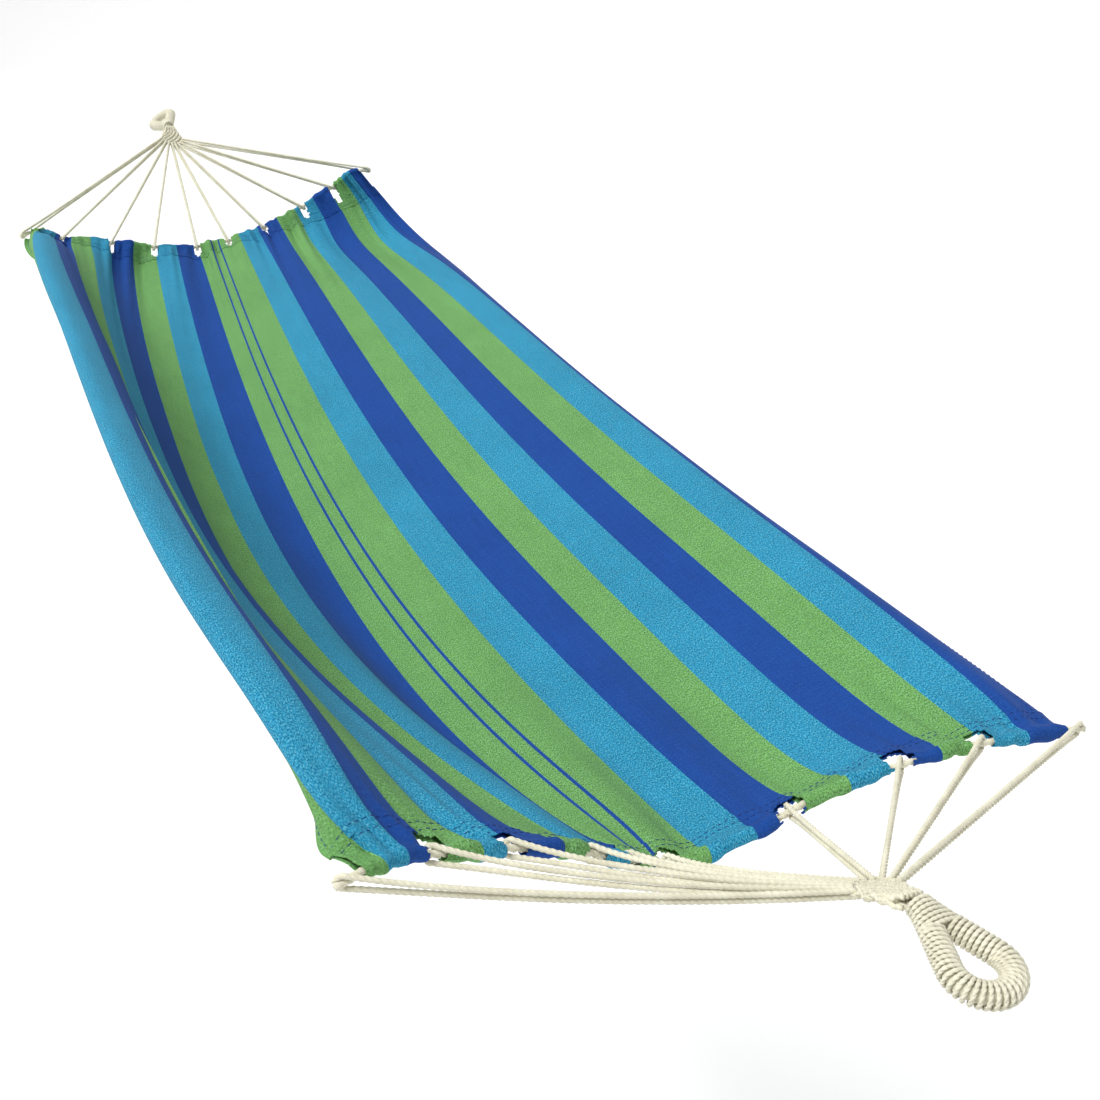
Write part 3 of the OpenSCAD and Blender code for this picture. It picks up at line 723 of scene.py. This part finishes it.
def striped_cloth():
    """Plain-woven striped cotton: coloured warp over a paler weft, with slubs and flecks."""
    n = Nodes("striped_cotton")
    place = n.add("UVMap", uv_map="cloth").outputs["UV"]
    split = n.add("SeparateXYZ", place)
    across, along = split.outputs[0], split.outputs[1]
    stripe = n.math("DIVIDE", across, BED_WIDTH)
    ramp = n.add("ValToRGB", stripe)
    ramp.color_ramp.interpolation = "CONSTANT"
    shades = {"G": GREEN, "L": LIGHT_BLUE, "D": DARK_BLUE}
    stops = [(k / STRIPES, shades[letter]) for k, letter in enumerate(STRIPE_ORDER)
             if k == 0 or STRIPE_ORDER[k - 1] != letter]
    elements = ramp.color_ramp.elements
    elements.remove(elements[1])
    elements[0].color = stops[0][1]
    for position, colour in stops[1:]:
        elements.new(position).color = colour
    thin = n.math("MAXIMUM", *(n.math("COMPARE", stripe, line / STRIPES, THIN_LINE / BED_WIDTH)
                               for line in THIN_LINE_PLACES))
    base = n.mix(thin, ramp.outputs["Color"], DARK_BLUE)
    threads = n.math("MULTIPLY", n.math("SINE", n.math("MULTIPLY", across, math.tau / WARP_THREAD_SPACING)),
                     n.math("SINE", n.math("MULTIPLY", along, math.tau / WEFT_THREAD_SPACING)))
    fleck_place = n.add("Mapping", place)
    fleck_place.inputs["Scale"].default_value = (1, 0.55, 1)
    flecks = n.noise(fleck_place.outputs[0], 800, 3, 0.75)
    slub_place = n.add("Mapping", place)
    slub_place.inputs["Scale"].default_value = (0.12, 1, 1)
    slubs = n.noise(slub_place.outputs[0], 420, 2, 0.6)
    warp_place = n.add("Mapping", place)
    warp_place.inputs["Scale"].default_value = (1, 0.04, 1)
    warps = n.noise(warp_place.outputs[0], 400, 2, 0.6)
    broad = n.noise(place, 7, 3, 0.6)
    pale = n.add("MapRange", flecks, 0.53, 0.66, 0.0, 0.5).outputs[0]
    dark = n.add("MapRange", flecks, 0.52, 0.42, 0.0, 0.95).outputs[0]
    solid = n.add("SeparateColor", base).outputs[1]
    heather = n.add("MapRange", solid, 0.05, 0.2, 0.12, 1.0).outputs[0]
    pale = n.math("MULTIPLY", pale, heather)
    dark = n.math("MULTIPLY", dark, heather)
    colour = n.mix(pale, base, linear(150, 208, 196))
    colour = n.mix(dark, colour, n.mix(0.65, base, (0.0, 0.012, 0.05, 1)))
    tone = n.math("ADD", n.math("MULTIPLY", slubs, 0.3), n.math("MULTIPLY", warps, 0.25))
    tone = n.math("ADD", tone, n.math("MULTIPLY", broad, 0.22))
    tone = n.add("MapRange", tone, 0.25, 0.52, 0.78, 1.16).outputs[0]
    colour = n.mix(1.0, colour, n.add("CombineColor", tone, tone, tone).outputs[0], "MULTIPLY")
    n.put(n.shader.inputs["Base Color"], colour)
    rough = n.add("MapRange", flecks, 0.3, 0.7, 0.82, 0.95).outputs[0]
    n.put(n.shader.inputs["Roughness"], rough)
    n.shader.inputs["Sheen Weight"].default_value = 0.02
    n.shader.inputs["Specular IOR Level"].default_value = 0.2
    height = n.math("ADD", n.math("MULTIPLY", threads, 0.35), n.math("ADD", flecks, slubs))
    n.bump(height, 0.35, 0.0004)
    return n.material


def cotton_cord(name, light, shade, fuzz):
    """Natural cotton yarn: warm off-white, darker in random patches, with fine fibres."""
    n = Nodes(name)
    place = n.add("TexCoord").outputs["Object"]
    fibres = n.noise(place, 900, 3, 0.7)
    patches = n.noise(place, 45, 3, 0.6)
    amount = n.math("ADD", n.math("MULTIPLY", fibres, 0.5), n.math("MULTIPLY", patches, 0.5))
    share = n.add("MapRange", amount, 0.35, 0.65, 0.0, 1.0).outputs[0]
    n.put(n.shader.inputs["Base Color"], n.mix(share, shade, light))
    n.put(n.shader.inputs["Roughness"], n.add("MapRange", fibres, 0.3, 0.7, 0.85, 0.97).outputs[0])
    n.shader.inputs["Sheen Weight"].default_value = 0.15
    n.shader.inputs["Specular IOR Level"].default_value = 0.2
    n.bump(fibres, fuzz, 0.0005)
    return n.material


def thread(name, colour):
    """Sewing thread in one colour, a little lighter along its twist."""
    n = Nodes(name)
    place = n.add("TexCoord").outputs["Object"]
    twist = n.noise(place, 1500, 2, 0.6)
    n.put(n.shader.inputs["Base Color"], n.mix(twist, colour, tuple(c * 1.6 for c in colour[:3]) + (1,)))
    n.put(n.shader.inputs["Roughness"], n.add("MapRange", twist, 0.3, 0.7, 0.6, 0.8).outputs[0])
    n.bump(twist, 0.4, 0.0003)
    return n.material


CLOTH = striped_cloth()
CORD = cotton_cord("cotton_cord", linear(236, 233, 212), linear(206, 202, 178), 0.7)
LOOP_CORD = cotton_cord("wrapped_cord", linear(237, 234, 214), linear(208, 204, 181), 0.7)
NAVY = thread("navy_thread", linear(24, 48, 110))


# ---------------------------------------------------------------- camera, light and floor
def look_from(place, azimuth, elevation, roll):
    """Camera axes for a view along azimuth (0 looks along +Y) and down by elevation, rolled to the left."""
    forward = Vector((math.sin(azimuth) * math.cos(elevation), math.cos(azimuth) * math.cos(elevation),
                      -math.sin(elevation)))
    right = forward.cross(Vector((0, 0, 1))).normalized()
    down = forward.cross(right)
    turned = right * math.cos(roll) + down * math.sin(roll)
    up = turned.cross(forward)
    axes = Matrix((turned, up, -forward)).transposed().to_4x4()
    axes.translation = place
    return axes


LENS_MM = 43.1
# The camera's place from the foot clew, and its direction
CAMERA_OFFSET = Vector((-0.626, -0.496, 0.578))
AZIMUTH, ELEVATION, ROLL = math.radians(31.4), math.radians(26.1), math.radians(-11.3)


def add_camera():
    camera = bpy.data.objects.new("camera", bpy.data.cameras.new("camera"))
    bpy.context.scene.collection.objects.link(camera)
    camera.data.lens = LENS_MM
    camera.data.clip_start = 0.02
    camera.matrix_world = look_from(Vector(FOOT_CLEW) + CAMERA_OFFSET, AZIMUTH, ELEVATION, ROLL)
    bpy.context.scene.camera = camera


def add_key_light(direction, strength, softness):
    """A broad soft light from one side, even over the whole floor."""
    lamp = bpy.data.lights.new("key", "SUN")
    lamp.energy = strength
    lamp.angle = softness
    obj = bpy.data.objects.new("key", lamp)
    bpy.context.scene.collection.objects.link(obj)
    obj.rotation_euler = Vector(direction).to_track_quat("Z", "Y").to_euler()


# The light's direction, strength and angle, and the strength of the white surroundings
KEY_FROM, KEY_STRENGTH, KEY_ANGLE = (-1.3, 0.2, 1.5), 2.8, math.radians(30)
WORLD_STRENGTH = 0.55
# How far the floor lies below the hammock's lowest point
FLOOR_DROP = 2.0
# The floor's radius and height from its middle out: it turns up far away, as a studio backdrop does
FLOOR_PROFILE = ((9, 0), (10.5, 0.2), (11.8, 0.8), (12.7, 1.8), (13.2, 3.2), (13.3, 6))


def add_stage():
    """A pale floor far below that turns up into a backdrop, white surroundings and the light."""
    ground = CAD_BOX[0][2] - FLOOR_DROP
    sides = 48
    points = [(0, 0, ground)]
    for radius, height in FLOOR_PROFILE:
        points += [(radius * math.cos(a), radius * math.sin(a), ground + height)
                   for a in np.arange(sides) / sides * math.tau]
    faces = [(0, 1 + k, 1 + (k + 1) % sides) for k in range(sides)]
    for ring in range(len(FLOOR_PROFILE) - 1):
        a = 1 + ring * sides
        faces += [(a + k, a + sides + k, a + sides + (k + 1) % sides, a + (k + 1) % sides)
                  for k in range(sides)]
    floor = add_object("floor", points, faces)
    pale = bpy.data.materials.new("pale_floor")
    pale.use_nodes = True
    pale.node_tree.nodes["Principled BSDF"].inputs["Base Color"].default_value = (0.95, 0.95, 0.95, 1)
    pale.node_tree.nodes["Principled BSDF"].inputs["Roughness"].default_value = 0.9
    floor.data.materials.append(pale)
    world = bpy.data.worlds.new("studio")
    world.use_nodes = True
    world.node_tree.nodes["Background"].inputs["Color"].default_value = (1, 1, 1, 1)
    world.node_tree.nodes["Background"].inputs["Strength"].default_value = WORLD_STRENGTH
    bpy.context.scene.world = world
    add_key_light(KEY_FROM, KEY_STRENGTH, KEY_ANGLE)
    bpy.context.scene.view_settings.view_transform = "Standard"


# ---------------------------------------------------------------- build
add_camera()
for end in (FOOT, HEAD):
    cord_objects(end, CORD)
    end_rope_object(end, CORD)
    clew_object(end, CORD)
    loop_object(end, LOOP_CORD)
bed_object(CLOTH, NAVY)
for end in (FOOT, HEAD):
    hem = hem_object(end, CLOTH, NAVY)
add_stage()
for node in frame["nodes"].values():
    if not node.hide_render:
        node.data.materials.clear()
        node.data.materials.append(CORD)
